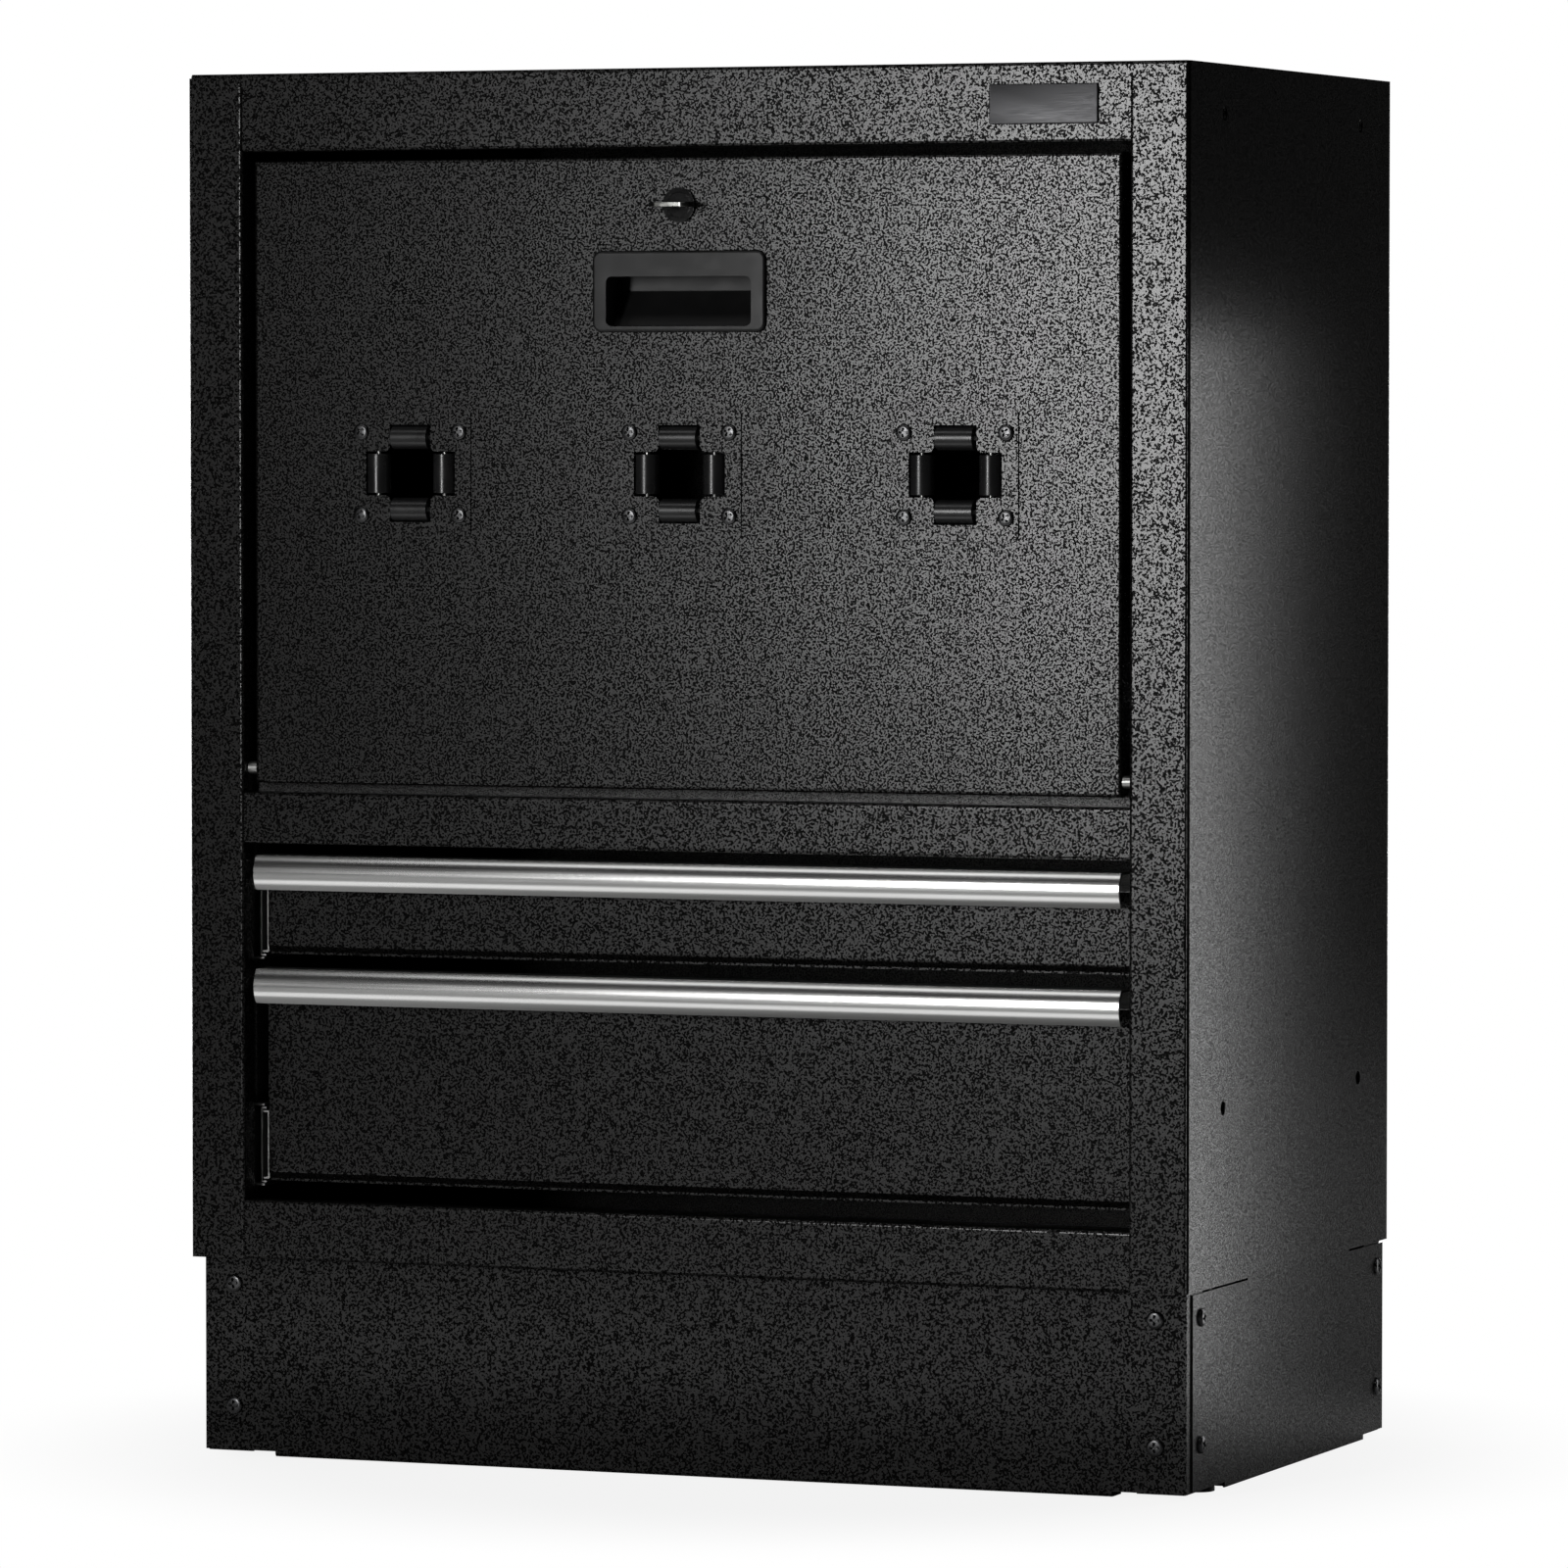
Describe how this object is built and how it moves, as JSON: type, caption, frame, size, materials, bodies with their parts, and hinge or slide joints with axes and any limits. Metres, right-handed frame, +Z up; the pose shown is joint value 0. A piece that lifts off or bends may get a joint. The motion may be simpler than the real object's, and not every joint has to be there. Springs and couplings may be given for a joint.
{
  "type": "hose reel floor cabinet",
  "caption": "Floor-standing steel cabinet for hose reels, with a drop-down door holding roller hose guides, and drawers below with full-width pulls.",
  "frame": {"origin": "on the floor, under the middle of the whole box, key included", "axes": "+X right as seen from the front, -Y out of the front, +Z up"},
  "size_m": [0.68, 0.423, 0.893],
  "materials": {
    "textured_paint": "textured black",
    "satin_paint": "fine textured black",
    "plate": "satin dark grey",
    "black_screws": "satin black",
    "zinc_steel": "bright zinc",
    "lock_black": "gloss black",
    "key_steel": "polished",
    "rubber": "matte",
    "black_plastic": "matte",
    "roller_plastic": "gloss",
    "aluminium": "satin anodised"
  },
  "bodies": {
    "cabinet": {"side_panel_left": "satin_paint", "side_panel_right": "satin_paint", "stile_left": "textured_paint", "stile_right": "textured_paint", "top_panel": "textured_paint", "back_panel": "satin_paint", "top_rail": "textured_paint", "mid_rail": "textured_paint", "bottom_rail": "textured_paint", "reel_shelf": "satin_paint", "cabinet_floor": "satin_paint", "name_plate": "plate", "kick_front": "textured_paint", "kick_rear": "satin_paint", "kick_left": "satin_paint", "kick_right": "satin_paint", "plinth_posts": "satin_paint", "kick_screws": "black_screws", "leg_sockets": "zinc_steel", "slide_posts": "satin_paint", "slide_cabinet_members": "zinc_steel", "joining_nuts": "zinc_steel", "supply_grommets": "rubber"},
    "door": {"door_panel": "textured_paint", "door_pins": "zinc_steel", "guide_plates": "textured_paint", "guide_screws": "black_screws", "roller_pins": "zinc_steel", "flush_pull": "black_plastic", "lock_housing": "lock_black", "lock_nut": "zinc_steel"},
    "lock": {"lock_plug": "lock_black", "lock_cam": "zinc_steel"},
    "key": {"key": "key_steel"},
    "foot_front_left": {"foot_front_left": "black_plastic"},
    "foot_front_right": {"foot_front_right": "black_plastic"},
    "foot_rear_left": {"foot_rear_left": "black_plastic"},
    "foot_rear_right": {"foot_rear_right": "black_plastic"},
    "roller_left_top": {"roller_left_top": "roller_plastic"},
    "roller_left_bottom": {"roller_left_bottom": "roller_plastic"},
    "roller_left_left": {"roller_left_left": "roller_plastic"},
    "roller_left_right": {"roller_left_right": "roller_plastic"},
    "roller_centre_top": {"roller_centre_top": "roller_plastic"},
    "roller_centre_bottom": {"roller_centre_bottom": "roller_plastic"},
    "roller_centre_left": {"roller_centre_left": "roller_plastic"},
    "roller_centre_right": {"roller_centre_right": "roller_plastic"},
    "roller_right_top": {"roller_right_top": "roller_plastic"},
    "roller_right_bottom": {"roller_right_bottom": "roller_plastic"},
    "roller_right_left": {"roller_right_left": "roller_plastic"},
    "roller_right_right": {"roller_right_right": "roller_plastic"},
    "upper_drawer": {"upper_drawer_front": "textured_paint", "upper_drawer_box": "satin_paint", "upper_drawer_pull": "aluminium", "upper_slide_members": "zinc_steel"},
    "upper_slides": {"upper_slide_middles": "zinc_steel"},
    "lower_drawer": {"lower_drawer_front": "textured_paint", "lower_drawer_box": "satin_paint", "lower_drawer_pull": "aluminium", "lower_slide_members": "zinc_steel"},
    "lower_slides": {"lower_slide_middles": "zinc_steel"}
  },
  "joints": [
    {"name": "door_drop", "type": "hinge", "parent": "cabinet", "child": "door", "pos_m": [0, -0.185, 0.447], "axis": [1, 0, 0], "range_deg": [0, 90]},
    {"name": "lock_turn", "type": "hinge", "parent": "door", "child": "lock", "pos_m": [0, -0.19, 0.8067], "axis": [0, -1, 0], "range_deg": [0, 90]},
    {"name": "key_pull", "type": "slide", "parent": "lock", "child": "key", "axis": [0, -1, 0], "range_m": [0, 0.024]},
    {"name": "level_front_left", "type": "slide", "parent": "cabinet", "child": "foot_front_left", "axis": [0, 0, -1], "range_m": [0, 0.015]},
    {"name": "level_front_right", "type": "slide", "parent": "cabinet", "child": "foot_front_right", "axis": [0, 0, -1], "range_m": [0, 0.015]},
    {"name": "level_rear_left", "type": "slide", "parent": "cabinet", "child": "foot_rear_left", "axis": [0, 0, -1], "range_m": [0, 0.015]},
    {"name": "level_rear_right", "type": "slide", "parent": "cabinet", "child": "foot_rear_right", "axis": [0, 0, -1], "range_m": [0, 0.015]},
    {"name": "roller_left_top_spin", "type": "hinge", "parent": "door", "child": "roller_left_top", "pos_m": [-0.186, -0.188, 0.66], "axis": [1, 0, 0], "continuous": true},
    {"name": "roller_left_bottom_spin", "type": "hinge", "parent": "door", "child": "roller_left_bottom", "pos_m": [-0.186, -0.188, 0.614], "axis": [1, 0, 0], "continuous": true},
    {"name": "roller_left_left_spin", "type": "hinge", "parent": "door", "child": "roller_left_left", "pos_m": [-0.209, -0.188, 0.637], "axis": [0, 0, 1], "continuous": true},
    {"name": "roller_left_right_spin", "type": "hinge", "parent": "door", "child": "roller_left_right", "pos_m": [-0.163, -0.188, 0.637], "axis": [0, 0, 1], "continuous": true},
    {"name": "roller_centre_top_spin", "type": "hinge", "parent": "door", "child": "roller_centre_top", "pos_m": [0, -0.188, 0.66], "axis": [1, 0, 0], "continuous": true},
    {"name": "roller_centre_bottom_spin", "type": "hinge", "parent": "door", "child": "roller_centre_bottom", "pos_m": [0, -0.188, 0.614], "axis": [1, 0, 0], "continuous": true},
    {"name": "roller_centre_left_spin", "type": "hinge", "parent": "door", "child": "roller_centre_left", "pos_m": [-0.023, -0.188, 0.637], "axis": [0, 0, 1], "continuous": true},
    {"name": "roller_centre_right_spin", "type": "hinge", "parent": "door", "child": "roller_centre_right", "pos_m": [0.023, -0.188, 0.637], "axis": [0, 0, 1], "continuous": true},
    {"name": "roller_right_top_spin", "type": "hinge", "parent": "door", "child": "roller_right_top", "pos_m": [0.186, -0.188, 0.66], "axis": [1, 0, 0], "continuous": true},
    {"name": "roller_right_bottom_spin", "type": "hinge", "parent": "door", "child": "roller_right_bottom", "pos_m": [0.186, -0.188, 0.614], "axis": [1, 0, 0], "continuous": true},
    {"name": "roller_right_left_spin", "type": "hinge", "parent": "door", "child": "roller_right_left", "pos_m": [0.163, -0.188, 0.637], "axis": [0, 0, 1], "continuous": true},
    {"name": "roller_right_right_spin", "type": "hinge", "parent": "door", "child": "roller_right_right", "pos_m": [0.209, -0.188, 0.637], "axis": [0, 0, 1], "continuous": true},
    {"name": "upper_drawer_slide", "type": "slide", "parent": "cabinet", "child": "upper_drawer", "axis": [0, -1, 0], "range_m": [0, 0.34]},
    {"name": "upper_middle_slide", "type": "slide", "parent": "cabinet", "child": "upper_slides", "axis": [0, -1, 0], "range_m": [0, 0.17]},
    {"name": "lower_drawer_slide", "type": "slide", "parent": "cabinet", "child": "lower_drawer", "axis": [0, -1, 0], "range_m": [0, 0.34]},
    {"name": "lower_middle_slide", "type": "slide", "parent": "cabinet", "child": "lower_slides", "axis": [0, -1, 0], "range_m": [0, 0.17]}
  ],
  "couplings": [
    {"joint": "upper_middle_slide", "follows": "upper_drawer_slide", "ratio": 0.5},
    {"joint": "lower_middle_slide", "follows": "lower_drawer_slide", "ratio": 0.5}
  ]
}
